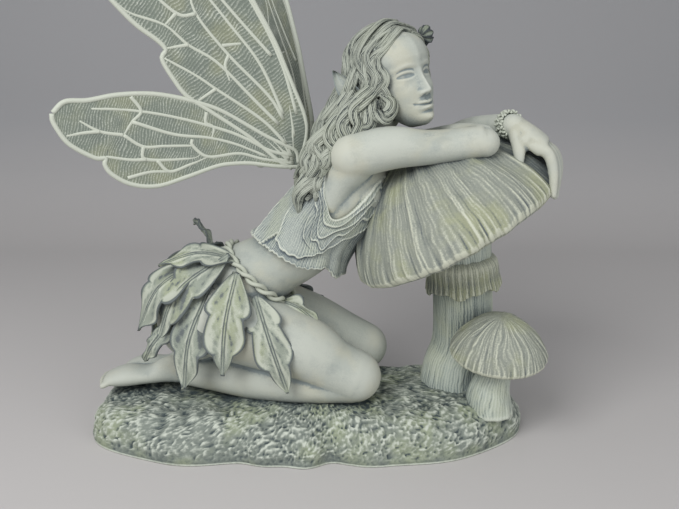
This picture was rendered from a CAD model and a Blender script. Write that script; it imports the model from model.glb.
# %% [markdown]
# # A cast resin fairy, dressed for the camera
#
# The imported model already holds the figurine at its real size: one casting for the
# fairy, her mushrooms and the mossy ground, and one casting for each pair of wings.
# This lesson lays a finer skin over those solids. Nearly every skin is a grid of
# points worked out with numpy, so a shape is a sentence of arithmetic, and the paint
# is procedural: a dark wash left in the hollows and a pale dry brush on the ridges.

# %% Load the frame
import math

import bpy
import numpy as np
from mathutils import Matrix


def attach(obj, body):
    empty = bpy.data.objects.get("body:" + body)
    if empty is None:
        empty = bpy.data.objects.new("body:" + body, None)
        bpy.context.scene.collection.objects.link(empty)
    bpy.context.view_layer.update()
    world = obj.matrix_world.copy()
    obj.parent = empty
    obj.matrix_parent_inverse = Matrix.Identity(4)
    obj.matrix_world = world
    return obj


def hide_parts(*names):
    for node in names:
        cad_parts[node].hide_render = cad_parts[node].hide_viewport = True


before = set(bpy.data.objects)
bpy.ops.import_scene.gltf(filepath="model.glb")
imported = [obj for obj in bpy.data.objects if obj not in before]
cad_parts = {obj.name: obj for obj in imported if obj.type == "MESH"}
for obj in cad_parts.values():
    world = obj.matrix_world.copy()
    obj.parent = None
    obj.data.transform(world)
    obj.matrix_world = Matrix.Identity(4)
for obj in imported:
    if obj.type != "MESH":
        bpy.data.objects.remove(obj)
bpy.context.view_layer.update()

# %% [markdown]
# ## The camera
#
# The photograph looks slightly down on the figurine from in front of the pedestal.
# The pedestal's converging edges give the pitch and the distance, so the camera is
# set from those three facts: where it stands, how far it tips, and how long its lens is.

# %% Camera
CAMERA_PLACE = (0.0316, -0.60, 0.29)
CAMERA_PITCH = 12.3
FOCAL_PIXELS = 700.0
FRAME_WIDTH = 679.0
SENSOR = 36.0

camera_data = bpy.data.cameras.new("camera")
camera_data.sensor_width = SENSOR
camera_data.lens = SENSOR * FOCAL_PIXELS / FRAME_WIDTH
camera = bpy.data.objects.new("camera", camera_data)
camera.location = CAMERA_PLACE
camera.rotation_euler = (math.radians(90 - CAMERA_PITCH), 0, 0)
bpy.context.scene.collection.objects.link(camera)
bpy.context.scene.camera = camera
print("lens", round(camera_data.lens, 2), "mm")

# %% [markdown]
# ## Curves and grids
#
# Everything below is measured in millimetres and turned to metres once, when the
# mesh is made. Four helpers do most of the work: a smooth curve through a few points,
# a tube of oval sections along such a curve, an ellipsoid laid out the same way, and
# a lattice noise that gives the same value at the same place on every run.

# %% Curve, tube and noise helpers
MM = 0.001
GROUND = 36.0


def unit(vectors):
    """Each vector divided by its own length."""
    return vectors / np.maximum(np.linalg.norm(vectors, axis=-1, keepdims=True), 1e-9)


def curve_through(points, count):
    """A Catmull-Rom curve: between b and c it is the cubic whose slopes are half of c - a and d - b."""
    rows = np.asarray(points, float)
    rows = np.vstack([2 * rows[0] - rows[1], rows, 2 * rows[-1] - rows[-2]])
    place = np.linspace(0, len(rows) - 3, count)
    first = np.minimum(place.astype(int), len(rows) - 4)
    t = (place - first)[:, None]
    a, b, c, d = (rows[first + step] for step in range(4))
    cubic = (3 * b - a - 3 * c + d) * t**3
    return 0.5 * (2 * b + (c - a) * t + (2 * a - 5 * b + 4 * c - d) * t**2 + cubic)


def bell(x, width=1.0):
    """The bump exp(-(x / width) squared), 1 at its middle."""
    return np.exp(-((x / width) ** 2))


def step_up(x, low, high):
    """Rises smoothly from 0 at low to 1 at high: 3 t squared less 2 t cubed."""
    t = np.clip((x - low) / (high - low), 0, 1)
    return t * t * (3 - 2 * t)


def lattice_noise(points, pitch, seed=0.0):
    """Value noise from -1 to 1: a hashed number at each lattice corner, blended smoothly between."""
    p = np.asarray(points, float) / pitch + seed * 17.31
    cell = np.floor(p)
    f = p - cell
    f = f * f * (3 - 2 * f)
    total = np.zeros(p.shape[:-1])
    for corner in range(8):
        step = np.array([corner & 1, corner >> 1 & 1, corner >> 2 & 1])
        k = cell + step
        mixed = np.sin(k[..., 0] * 127.1 + k[..., 1] * 311.7 + k[..., 2] * 74.7 + seed) * 43758.5453
        share = np.prod(np.where(step == 1, f, 1 - f), axis=-1)
        total += share * (2 * (mixed - np.floor(mixed)) - 1)
    return total


def sections(path, across, out, half_across, half_out, sides, swell=1.0):
    """P(t, a) = path(t) + swell * (cos a * half_out(t) * out(t) + sin a * half_across(t) * across(t))."""
    a = np.linspace(0, 2 * math.pi, sides, endpoint=False)
    wide = np.asarray(half_across)[:, None, None] * np.sin(a)[None, :, None] * across[:, None, :]
    deep = np.asarray(half_out)[:, None, None] * np.cos(a)[None, :, None] * out[:, None, :]
    swell = np.asarray(swell, float)
    if swell.ndim:
        swell = swell[..., None]
    return path[:, None, :] + swell * (wide + deep)


def turned_tube(stations, count, sides, swell=1.0):
    """Oval sections square to a path; a station is x, y, z, half depth, half width and turn in degrees."""
    rows = curve_through(stations, count)
    along = unit(np.gradient(rows[:, :3], axis=0))
    turn = np.radians(rows[:, 5])
    level = np.column_stack([-np.sin(turn), np.cos(turn), np.zeros(count)])
    across = unit(level - along * np.sum(level * along, axis=1, keepdims=True))
    out = np.cross(across, along)
    return sections(rows[:, :3], across, out, rows[:, 4], rows[:, 3], sides, swell)


def round_tube(points, radii, count, sides, flat=1.0, up=(0.0, 0.0, 1.0), swell=1.0):
    """A bar along a curve: radius(t) across, flat * radius(t) towards the up side."""
    rows = curve_through(np.column_stack([np.asarray(points, float), radii]), count)
    along = unit(np.gradient(rows[:, :3], axis=0))
    across = unit(np.cross(along, np.broadcast_to(np.asarray(up, float), along.shape)))
    out = np.cross(across, along)
    return sections(rows[:, :3], across, out, rows[:, 3], rows[:, 3] * flat, sides, swell)


def blob(centre, radii, turn=0.0, rows=18, sides=28):
    """An ellipsoid from pole to pole, turned about the vertical."""
    t = np.linspace(0.001, math.pi - 0.001, rows)[:, None]
    a = np.linspace(0, 2 * math.pi, sides, endpoint=False)[None, :]
    x = radii[0] * np.sin(t) * np.cos(a)
    y = radii[1] * np.sin(t) * np.sin(a)
    z = -radii[2] * np.cos(t) * np.ones_like(a)
    c, s = math.cos(math.radians(turn)), math.sin(math.radians(turn))
    return np.stack([x * c - y * s, x * s + y * c, z], axis=-1) + np.asarray(centre, float)

# %% [markdown]
# ## From grids to a mesh
#
# A grid of points becomes quads with one array expression. A ring closes its last
# column to its first, and each open end gets one middle point, so the skin is shut.
# Each point also keeps a "flow" value, its place along and around the form in
# millimetres, which the paint uses to draw lines that follow the surface.

# %% Mesh helpers


def shut_grid(grid, flow=None, loop=False):
    """The points, quads, end triangles and flow of one grid of rings; loop joins the last ring to the first."""
    rows, columns = grid.shape[:2]
    index = np.arange(rows * columns).reshape(rows, columns)
    index = np.hstack([index, index[:, :1]])
    if loop:
        index = np.vstack([index, index[:1]])
    quads = np.stack([index[:-1, :-1], index[:-1, 1:], index[1:, 1:], index[1:, :-1]], -1)
    points = grid.reshape(-1, 3)
    if flow is None:
        step = np.linalg.norm(np.diff(grid, axis=0), axis=-1).mean(axis=1)
        along = np.concatenate([[0.0], np.cumsum(step)])
        around = np.linalg.norm(grid[rows // 2] - np.roll(grid[rows // 2], 1, axis=0), axis=-1)
        flow = np.stack(np.meshgrid(along, np.cumsum(around), indexing="ij"), -1)
    flow = flow.reshape(-1, 2)
    triangles = np.zeros((0, 3), int)
    if not loop:
        low, high = rows * columns, rows * columns + 1
        points = np.vstack([points, grid[0].mean(axis=0), grid[-1].mean(axis=0)])
        flow = np.vstack([flow, flow[0], flow[-1]])
        first = np.stack([index[0, 1:], index[0, :-1], np.full(index.shape[1] - 1, low)], -1)
        last = np.stack([index[-1, :-1], index[-1, 1:], np.full(index.shape[1] - 1, high)], -1)
        triangles = np.vstack([first, last])
    return points, quads.reshape(-1, 4), triangles, flow


def build(name, parts):
    """One object from shut grids: their arrays laid end to end, each one's indices moved up."""
    start = 0
    points, quads, triangles, flow = [], [], [], []
    for p, q, t, f in parts:
        points.append(p)
        quads.append(q + start)
        triangles.append(t + start)
        flow.append(f)
        start += len(p)
    points, flow = np.vstack(points), np.vstack(flow)
    quads, triangles = np.vstack(quads), np.vstack(triangles)
    mesh = bpy.data.meshes.new(name)
    mesh.vertices.add(len(points))
    mesh.vertices.foreach_set("co", (points * MM).astype(np.float32).ravel())
    mesh.loops.add(quads.size + triangles.size)
    corners = np.concatenate([quads.ravel(), triangles.ravel()])
    mesh.loops.foreach_set("vertex_index", corners.astype(np.int32))
    mesh.polygons.add(len(quads) + len(triangles))
    starts = np.concatenate([np.arange(len(quads)) * 4, quads.size + np.arange(len(triangles)) * 3])
    mesh.polygons.foreach_set("loop_start", starts.astype(np.int32))
    mesh.update(calc_edges=True)
    layer = mesh.attributes.new("flow", "FLOAT_VECTOR", "POINT")
    flow = np.column_stack([flow, np.zeros(len(flow))])
    layer.data.foreach_set("vector", flow.astype(np.float32).ravel())
    mesh.shade_smooth()
    made = bpy.data.objects.new(name, mesh)
    bpy.context.scene.collection.objects.link(made)
    return made


def settle(thing):
    """Swap the object's mesh for the one its modifiers make, and drop the modifiers."""
    bpy.context.view_layer.update()
    seen = bpy.context.evaluated_depsgraph_get()
    mesh = bpy.data.meshes.new_from_object(thing.evaluated_get(seen))
    thing.modifiers.clear()
    thing.data = mesh
    mesh.shade_smooth()
    return thing


def fuse(thing, voxel, rounds, keep):
    """Melt overlapping closed forms into one skin, relax it like wet clay and keep a share of the triangles."""
    melt = thing.modifiers.new("melt", "REMESH")
    melt.mode = "VOXEL"
    melt.voxel_size = voxel * MM
    relax = thing.modifiers.new("relax", "SMOOTH")
    relax.factor = 0.5
    relax.iterations = rounds
    thin = thing.modifiers.new("thin", "DECIMATE")
    thin.ratio = keep
    return settle(thing)


def mark_relief(thing, rounds=6, gain=0.5):
    """relief = 0.5 + (p - p averaged with its neighbours rounds times) . normal / gain, in millimetres."""
    mesh = thing.data
    count = len(mesh.vertices)
    flat = np.empty(count * 3, np.float32)
    mesh.vertices.foreach_get("co", flat)
    points = flat.reshape(-1, 3).astype(float) / MM
    mesh.vertex_normals.foreach_get("vector", flat)
    normals = flat.reshape(-1, 3).astype(float)
    pairs = np.empty(len(mesh.edges) * 2, np.int32)
    mesh.edges.foreach_get("vertices", pairs)
    ends = pairs.reshape(-1, 2)
    a = np.concatenate([ends[:, 0], ends[:, 1]])
    b = np.concatenate([ends[:, 1], ends[:, 0]])
    share = np.maximum(np.bincount(a, minlength=count), 1)
    relaxed = points.copy()
    for _ in range(rounds):
        summed = [np.bincount(a, weights=relaxed[b, axis], minlength=count) for axis in range(3)]
        relaxed = 0.5 * relaxed + 0.5 * np.column_stack(summed) / share[:, None]
    height = np.sum((points - relaxed) * normals, axis=1)
    relief = np.clip(0.5 + height / gain, 0, 1)
    layer = mesh.attributes.get("relief") or mesh.attributes.new("relief", "FLOAT", "POINT")
    layer.data.foreach_set("value", relief.astype(np.float32))


def triangles_of(thing):
    """How many triangles the object's mesh has."""
    thing.data.calc_loop_triangles()
    return len(thing.data.loop_triangles)

# %% [markdown]
# ## The paint
#
# The real finish is made in three steps: a grey-green coat, a thin dark wash that
# runs into the hollows, and a nearly dry brush of cream that catches the ridges.
# One node group does the same three steps for every paint. It takes the relief
# value stored on the mesh, breaks it up with noise so that no edge is mechanical,
# and puts out a colour, a roughness and a height for the bump.

# %% Paint group


def node(tree, kind, place, **settings):
    """Add a node at a place in the editor and set its plain properties."""
    made = tree.nodes.new(kind)
    made.location = place
    for key, value in settings.items():
        setattr(made, key, value)
    return made


def dry_brush_group():
    """Coat, wash and dry brush: colour = mix(mix(coat, wash, hollow), brush, ridge)."""
    tree = bpy.data.node_groups.new("wash and dry brush", "ShaderNodeTree")
    sockets = (
        ("Relief", "NodeSocketFloat", 0.5),
        ("Lines", "NodeSocketFloat", 0.5),
        ("Coat", "NodeSocketColor", (0.4, 0.45, 0.4, 1)),
        ("Tint", "NodeSocketColor", (0.45, 0.48, 0.33, 1)),
        ("Wash", "NodeSocketColor", (0.13, 0.16, 0.16, 1)),
        ("Brush", "NodeSocketColor", (0.75, 0.78, 0.70, 1)),
        ("Line Paint", "NodeSocketFloat", 0.4),
        ("Wash Amount", "NodeSocketFloat", 1.0),
        ("Brush Amount", "NodeSocketFloat", 1.0),
        ("Grain Scale", "NodeSocketFloat", 900.0),
    )
    for name, kind, value in sockets:
        tree.interface.new_socket(name, in_out="INPUT", socket_type=kind).default_value = value
    outputs = (("Color", "NodeSocketColor"), ("Roughness", "NodeSocketFloat"), ("Height", "NodeSocketFloat"))
    for name, kind in outputs:
        tree.interface.new_socket(name, in_out="OUTPUT", socket_type=kind)
    given = node(tree, "NodeGroupInput", (-1200, 0))
    result = node(tree, "NodeGroupOutput", (900, 0))
    place = node(tree, "ShaderNodeTexCoord", (-1200, -500))

    def noise(scale, detail, y):
        made = node(tree, "ShaderNodeTexNoise", (-1000, y))
        made.inputs["Detail"].default_value = detail
        made.inputs["Scale"].default_value = scale
        tree.links.new(place.outputs["Object"], made.inputs["Vector"])
        return made

    def ramp(source, low, high, y, x=-300):
        made = node(tree, "ShaderNodeMapRange", (x, y), interpolation_type="SMOOTHSTEP")
        made.inputs["From Min"].default_value = low
        made.inputs["From Max"].default_value = high
        tree.links.new(source, made.inputs["Value"])
        return made.outputs["Result"]

    def maths(operation, first, second, x, y):
        made = node(tree, "ShaderNodeMath", (x, y), operation=operation)
        for socket, value in zip(made.inputs, (first, second)):
            if isinstance(value, float):
                socket.default_value = value
            else:
                tree.links.new(value, socket)
        return made.outputs[0]

    def mixed(factor, first, second, x, y):
        made = node(tree, "ShaderNodeMix", (x, y), data_type="RGBA")
        tree.links.new(factor, made.inputs["Factor"])
        tree.links.new(first, made.inputs[6])
        tree.links.new(second, made.inputs[7])
        return made.outputs[2]

    clouds = noise(28.0, 3.0, -300)
    patches = noise(75.0, 4.0, -500)
    grain = noise(900.0, 2.0, -700)
    tree.links.new(given.outputs["Grain Scale"], grain.inputs["Scale"])
    rough = maths("MULTIPLY_ADD", grain.outputs["Fac"], 0.36, -700, -700)
    rough.node.inputs[2].default_value = -0.18
    centred = maths("SUBTRACT", given.outputs["Lines"], 0.5, -850, -100)
    lines = maths("MULTIPLY", centred, given.outputs["Line Paint"], -700, -100)
    total = maths("ADD", given.outputs["Relief"], lines, -600, 0)
    corner = node(tree, "ShaderNodeAmbientOcclusion", (-1000, 400), samples=4)
    corner.inputs["Distance"].default_value = 14.0 * MM
    shut_in = maths("MULTIPLY_ADD", corner.outputs["AO"], 0.42, -800, 400)
    shut_in.node.inputs[2].default_value = -0.36
    broken = maths("ADD", maths("ADD", total, shut_in, -550, 200), rough, -500, 0)
    hollow = maths("MULTIPLY", ramp(broken, 0.52, 0.20, 200), given.outputs["Wash Amount"], -100, 200)
    ridge = maths("MULTIPLY", ramp(broken, 0.54, 0.86, 0), given.outputs["Brush Amount"], -100, 0)
    cloudy = ramp(clouds.outputs["Fac"], 0.45, 0.65, -300)
    tinted = mixed(cloudy, given.outputs["Coat"], given.outputs["Tint"], 0, -300)
    thin_wash = maths("MULTIPLY", ramp(patches.outputs["Fac"], 0.52, 0.72, -500), 0.28, -100, -500)
    dusky = mixed(thin_wash, tinted, given.outputs["Wash"], 200, -200)
    washed = mixed(hollow, dusky, given.outputs["Wash"], 400, 0)
    brushed = mixed(ridge, washed, given.outputs["Brush"], 600, 0)
    tree.links.new(brushed, result.inputs["Color"])
    dull = maths("MULTIPLY_ADD", ridge, -0.10, 500, -300)
    dull.node.inputs[2].default_value = 0.74
    tree.links.new(dull, result.inputs["Roughness"])
    height = maths("MULTIPLY_ADD", given.outputs["Lines"], 1.0, 500, -500)
    tree.links.new(maths("MULTIPLY", grain.outputs["Fac"], 0.35, 300, -600), height.node.inputs[2])
    tree.links.new(height, result.inputs["Height"])
    return tree


PAINT = dry_brush_group()


def painted(name, coat, tint, wash, brush, **choice):
    """A material of the paint group; lines are drawn along the flow where a pitch is given.

    A line is a sine of the flow across the form, bent by a little noise.
    """
    made = bpy.data.materials.new(name)
    made.use_nodes = True
    tree = made.node_tree
    shader = tree.nodes["Principled BSDF"]
    shader.inputs["Specular IOR Level"].default_value = 0.28
    paint = node(tree, "ShaderNodeGroup", (-300, 100), node_tree=PAINT)
    for socket, colour in (("Coat", coat), ("Tint", tint), ("Wash", wash), ("Brush", brush)):
        paint.inputs[socket].default_value = (*colour, 1.0)
    paint.inputs["Line Paint"].default_value = choice.get("line_paint", 0.4)
    paint.inputs["Wash Amount"].default_value = choice.get("wash_amount", 1.0)
    paint.inputs["Brush Amount"].default_value = choice.get("brush_amount", 1.0)
    paint.inputs["Grain Scale"].default_value = choice.get("grain", 900.0)
    relief = node(tree, "ShaderNodeAttribute", (-900, 200), attribute_name="relief")
    tree.links.new(relief.outputs["Fac"], paint.inputs["Relief"])
    if "pitch" in choice:
        flow = node(tree, "ShaderNodeAttribute", (-1100, -100), attribute_name="flow")
        wave = node(tree, "ShaderNodeTexWave", (-700, -100), bands_direction=choice.get("bands", "Y"))
        wave.inputs["Scale"].default_value = 0.3142 / choice["pitch"]
        wave.inputs["Distortion"].default_value = choice.get("wander", 2.0)
        wave.inputs["Detail Scale"].default_value = choice.get("wander_scale", 0.6)
        tree.links.new(flow.outputs["Vector"], wave.inputs["Vector"])
        tree.links.new(wave.outputs["Fac"], paint.inputs["Lines"])
    bump = node(tree, "ShaderNodeBump", (-150, -250))
    bump.inputs["Strength"].default_value = choice.get("bump", 0.5)
    bump.inputs["Distance"].default_value = choice.get("depth", 0.3) * MM
    tree.links.new(paint.outputs["Height"], bump.inputs["Height"])
    tree.links.new(paint.outputs["Color"], shader.inputs["Base Color"])
    tree.links.new(paint.outputs["Roughness"], shader.inputs["Roughness"])
    tree.links.new(bump.outputs["Normal"], shader.inputs["Normal"])
    return made


CREAM = (0.62, 0.65, 0.57)
skin_paint = painted(
    "smooth_skin_paint", (0.43, 0.46, 0.415), (0.485, 0.49, 0.405), (0.20, 0.24, 0.25), (0.58, 0.60, 0.53),
    depth=0.12, wash_amount=0.9, brush_amount=0.5)
hair_paint = painted(
    "hair_paint", (0.155, 0.175, 0.155), (0.19, 0.21, 0.155), (0.045, 0.055, 0.06), (0.51, 0.54, 0.46),
    pitch=1.7, depth=0.35, bump=0.8, line_paint=0.66, wander=4.0, brush_amount=0.8)
dress_paint = painted(
    "dress_paint", (0.36, 0.40, 0.37), (0.40, 0.44, 0.35), (0.14, 0.17, 0.19), CREAM, pitch=1.5, depth=0.3)
leaf_paint = painted(
    "leaf_paint", (0.30, 0.335, 0.28), (0.355, 0.39, 0.27), (0.13, 0.15, 0.15), (0.50, 0.53, 0.445), depth=0.3)
trim_paint = painted(
    "bracelet_and_flower_paint", (0.20, 0.23, 0.20), (0.25, 0.28, 0.21), (0.05, 0.06, 0.065),
    (0.52, 0.55, 0.47), depth=0.3)
cap_paint = painted(
    "mushroom_cap_paint", (0.275, 0.295, 0.255), (0.335, 0.355, 0.24), (0.11, 0.13, 0.135), (0.57, 0.59, 0.48),
    pitch=2.2, depth=0.25, wander=9.0, line_paint=0.14)
stem_paint = painted(
    "mushroom_stem_paint", (0.41, 0.46, 0.41), (0.46, 0.50, 0.40), (0.18, 0.215, 0.21), (0.54, 0.58, 0.50),
    pitch=2.4, depth=0.4, wander=6.0, line_paint=0.3)
moss_paint = painted(
    "mossy_ground_paint", (0.22, 0.25, 0.22), (0.30, 0.34, 0.24), (0.06, 0.08, 0.085), (0.58, 0.62, 0.54),
    depth=1.8, grain=430.0, bump=1.0)
wing_paint = painted(
    "wing_paint", (0.19, 0.22, 0.185), (0.255, 0.275, 0.195), (0.12, 0.14, 0.13), CREAM,
    pitch=1.9, bands="X", depth=0.3, wander=12.0, wander_scale=0.35, line_paint=0.20)
vein_paint = painted(
    "wing_vein_paint", (0.265, 0.295, 0.245), (0.31, 0.335, 0.25), (0.14, 0.16, 0.15), (0.54, 0.57, 0.49),
    depth=0.2)
print("paints:", len(bpy.data.materials))


def finish_piece(thing, paint, node_name="fairy_casting", rounds=6, gain=0.5):
    """Paint a piece, hang it on the figurine and say which casting it stands for."""
    mark_relief(thing, rounds, gain)
    thing.data.materials.clear()
    thing.data.materials.append(paint)
    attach(thing, "root")
    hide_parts(node_name)
    print(thing.name, triangles_of(thing), "triangles")

# %% [markdown]
# ## Mossy ground
#
# The ground is a flat oval slab that slopes in towards its top. Its rings start at
# the underside, climb the edge and close over the top. Two sizes of noise give it
# lumps and a web of fine crests, which is how a modeller's moss looks once cast.

# %% Ground
BASE_HALF_LENGTH, BASE_FRONT, BASE_BACK = 196.0, 84.0, 76.0
BASE_SQUARENESS = 2.6    # 2 is an ellipse, and more squares its corners
BASE_BANK = 36.0         # how far the bank comes in from its foot to the top


def ground_grid(sides=540, climb=38, top=50):
    """Rings of r(a) = oval(a) - inset at a height; lumps and crests push the bank out and the top up."""
    a = np.linspace(0, 2 * math.pi, sides, endpoint=False)
    half = np.where(np.sin(a) < 0, BASE_FRONT, BASE_BACK)
    power = BASE_SQUARENESS
    oval = (np.abs(np.cos(a) / BASE_HALF_LENGTH) ** power + np.abs(np.sin(a) / half) ** power) ** (-1 / power)
    edge = oval + 3.5 * (np.sin(7 * a + 0.6) + 0.6 * np.sin(13 * a + 2.0)) - 3.5
    side = curve_through([(0, 0), (0, 5), (1.8, 14.4), (8.1, 25.2), (19.8, 32.4), (BASE_BANK, GROUND)], climb)
    inward = np.linspace(0.02, 0.995, top)[:, None] ** 1.5
    reach = np.vstack([edge[None, :] - side[:, :1], (edge - BASE_BANK)[None, :] * (1 - inward)])
    height = np.concatenate([side[:, 1], np.full(top, GROUND)])[:, None] * np.ones_like(reach)
    grid = np.stack([np.cos(a) * reach, np.sin(a) * reach, height], -1)
    lift = np.clip(height / 9, 0, 1)
    lumps = 2.2 * lattice_noise(grid, 19.0, 1) + 1.32 * lattice_noise(grid, 8.55, 2)
    bent = grid + 2.5 * lattice_noise(grid, 7.0, 8)[..., None]
    crests = 0.55 * (1 - 2.6 * np.abs(lattice_noise(bent * (1, 1, 1.5), 4.6, 3)))
    crests += 0.70 * (1 - 2.6 * np.abs(lattice_noise(bent, 2.7, 4)))
    push = (lumps + crests) * lift
    level = np.clip((GROUND - height) / GROUND, 0, 1)
    grid[..., :2] *= (1 + push * (0.25 + 0.75 * level) / np.maximum(reach, GROUND))[..., None]
    grid[..., 2] += push * (1 - 0.55 * level)
    return grid


finish_piece(build("mossy_ground", [shut_grid(ground_grid())]), moss_paint, gain=2.0)

# %% [markdown]
# ## The two mushrooms
#
# A cap is a turned profile whose height is a power of the cosine of the angle from
# the crown. The wrinkles are noise stretched along the radius: the noise is read at a
# point of a cylinder, so it changes quickly round the cap and slowly down its slope.

# %% Mushrooms


def leaned(grid, centre, lean_x=0.0, lean_y=0.0):
    """Stand a turned grid at a place with its axis leaning towards -x and -y, in degrees."""
    a, b = math.radians(-lean_x), math.radians(lean_y)
    about_y = np.array([[math.cos(a), 0, math.sin(a)], [0, 1, 0], [-math.sin(a), 0, math.cos(a)]])
    about_x = np.array([[1, 0, 0], [0, math.cos(b), -math.sin(b)], [0, math.sin(b), math.cos(b)]])
    return grid @ (about_y @ about_x).T + np.asarray(centre, float)


def radial_noise(a, rise, around, along, seed):
    """Noise on a cylinder: around cells to a radian of turn, along cells to the whole rise."""
    axes = np.broadcast_arrays(around * np.cos(a), around * np.sin(a), along * rise)
    return lattice_noise(np.stack(axes, -1), 1.0, seed)


def cap_grid(radius, height, rim, hub, folds, seed, sides=360, dome=72, full=1.3):
    """r = radius sin t, z = height cos(t) ** full, with folds, wrinkles and creases growing to the rim."""
    lining = 30    # rings on the underside
    a = np.linspace(0, 2 * math.pi, sides, endpoint=False)[None, :]
    under = curve_through(
        [(1.0, rim * 0.5), (hub, rim * 0.5), (radius * 0.55, -rim * 0.1), (radius * 0.8, -rim * 0.8),
         (radius * 0.93, -rim), (radius * 0.985, -rim * 0.6)], lining)
    t = np.linspace(math.pi / 2, 0.012, dome)
    over = np.column_stack([radius * np.sin(t), height * np.cos(t) ** full])
    line = np.vstack([under, over])
    share = (line[:, 0] / radius)[:, None]
    upper = np.concatenate([np.full(lining, 0.35), np.full(dome, 1.0)])[:, None]
    wander = 0.35 * np.sin(3 * a + seed) + 0.2 * np.sin(5 * a + 2 * seed)
    bent = a + 0.075 * radial_noise(a, share, 3.5, 3.6, seed + 4)
    patch = 0.5 + 0.5 * radial_noise(a, share, 2.2, 1.5, seed + 5)
    fold = np.sin(folds * a + 2 * wander)
    streak = radial_noise(bent, share, folds * 0.5, 2.4, seed)
    ridge = 0.5 - np.abs(radial_noise(bent, share, folds * 0.9, 2.5, seed + 1))
    fine = radial_noise(bent, share, folds * 2.0, 5.0, seed + 3)
    crease = -np.clip(0.10 - np.abs(radial_noise(bent, share, folds * 0.28, 1.0, seed + 2)), 0, 1) / 0.10
    push = radius * upper * (
        0.007 * fold * share**1.4 + 0.030 * streak * share**0.8 + 0.013 * ridge * patch * share**0.6
        + 0.0035 * fine * share**3 + 0.014 * crease * patch * share
    )
    ragged = 0.012 * fine * share**12
    bend = 1 + 0.04 * np.sin(2 * a + seed) * share**2 + ragged
    reach = line[:, :1] * bend * (1 + 0.35 * push / radius)
    rise = line[:, 1:] + push
    grid = np.stack([reach * np.cos(a), reach * np.sin(a), rise * np.ones_like(a)], -1)
    flow = np.stack([np.broadcast_to(line[:, :1], reach.shape), bent * radius * 0.6 * np.ones_like(reach)], -1)
    return grid, flow


def stem_swell(rows, sides, streaks, seed):
    """1 plus upright, wandering streaks of noise, for the grooved flesh of a stem."""
    a = np.linspace(0, 2 * math.pi, sides, endpoint=False)[None, :]
    rise = np.linspace(0, 1, rows)[:, None]
    bent = a + 0.12 * radial_noise(a, rise, 2.5, 5.0, seed + 2)
    broad = 0.035 * radial_noise(bent, rise, streaks, 4.0, seed)
    return 1 + broad + 0.02 * radial_noise(bent, rise, streaks * 2.2, 8.0, seed + 1)


CAP_CENTRE = np.array([133.5, 0.0, GROUND + 151])
cap_points, cap_flow = cap_grid(radius=94, height=75, rim=7, hub=27, folds=21, seed=0.4)
large_cap = build("large_cap", [shut_grid(leaned(cap_points, CAP_CENTRE, lean_x=30), cap_flow)])
finish_piece(large_cap, cap_paint, gain=2.1)
small_points, small_flow = cap_grid(
    radius=39.5, height=34, rim=4, hub=15, folds=17, seed=2.2, sides=220, dome=42, full=1.5)
small_points = leaned(small_points, (167, -33, GROUND + 46), lean_y=13)
finish_piece(build("small_cap", [shut_grid(small_points, small_flow)]), cap_paint, gain=0.9)
large_stem = round_tube(
    [(138, 15, 26), (138, 15, 48), (145, 15, 81), (140, 9, 151), (133.5, 0, 193)],
    [33, 29, 26.5, 26.5, 27], 70, 150, up=(1, 0, 0), swell=stem_swell(70, 150, 7, 3))
small_stem = round_tube(
    [(162, -29, 26), (162, -30, 44), (165, -31, 62), (167, -33, 90)],
    [21, 18, 14.5, 14], 40, 90, up=(1, 0, 0), swell=stem_swell(40, 90, 5, 6))
finish_piece(build("stems", [shut_grid(large_stem), shut_grid(small_stem)]), stem_paint, gain=1.8)


def collar_grid(radius, drop, pleats, sides=240):
    """A hanging collar: the profile (r, z) spun round, with r and z waved by its pleats."""
    a = np.linspace(0, 2 * math.pi, sides, endpoint=False)[None, :]
    line = curve_through(
        [(1, 9 - drop), (24, 9 - drop), (radius - 5, 1 - drop), (radius - 0.5, -drop - 0.5),
         (radius + 1.4, 0.8 - drop), (radius, -0.6 * drop), (radius - 1.5, 1), (19, 9), (1, 11)], 60)
    share = np.concatenate([np.linspace(0.1, 1, 26), np.linspace(1, 0, 34)])[:, None]
    bent = a + 0.03 * radial_noise(a, share, 3.0, 2.0, 7)
    wave = np.abs(np.sin(pleats * bent)) - 0.5 + 0.6 * radial_noise(bent, share, 6.0, 1.5, 4)
    fine = np.abs(np.sin(2.0 * pleats * bent + 1)) - 0.5
    reach = line[:, :1] * (1 + (0.035 * wave + 0.02 * fine) * share)
    rise = line[:, 1:] + share**3 * (2.2 * np.sin(5 * a + 1) + 1.2 * np.sin(11 * a) + 1.0 * wave)
    return np.stack([reach * np.cos(a), reach * np.sin(a), rise * np.ones_like(a)], -1)


collar = leaned(collar_grid(radius=32, drop=22, pleats=18), (140, 8, 151), lean_x=7.5, lean_y=4)
finish_piece(build("stem_collar", [shut_grid(collar)]), cap_paint, gain=1.3)

# %% [markdown]
# ## The body
#
# Limbs are easiest to model one at a time, as oval sections along a bent line, and
# then melted together. The melting is a voxel remesh: it keeps only the outside of
# the overlapping forms, so a hip or an armpit needs no careful joining by hand.

# %% Body


def turned_xy(x, y, degrees):
    """The point (x, y) turned anticlockwise about the vertical."""
    c, s = math.cos(math.radians(degrees)), math.sin(math.radians(degrees))
    return np.array([x * c - y * s, x * s + y * c])


CHEST_TURN = -25.0
LEFT_WRIST = CAP_CENTRE + (34, -30, 86)
TORSO = np.array([
    # x, y, height, half depth, half width, turn
    (-114, 4, 106, 12, 24, 0), (-100, 4, 110, 33, 41, 0), (-72, 4, 122, 41, 47, 0),
    (-50, 3, 134, 37, 43, 0), (-38, 3, 143, 32, 38, 0), (-20, 2, 154, 28, 33, -4),
    (-2, 1, 166, 28, 34, -10), (16, 0, 185, 31, 38, -18), (34, -1, 208, 35, 41, -25),
    (46, -2, 230, 31, 43, -25), (53, -3, 247, 19, 40, -25), (58, -4, 260, 12, 18, -25),
], float)


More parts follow.
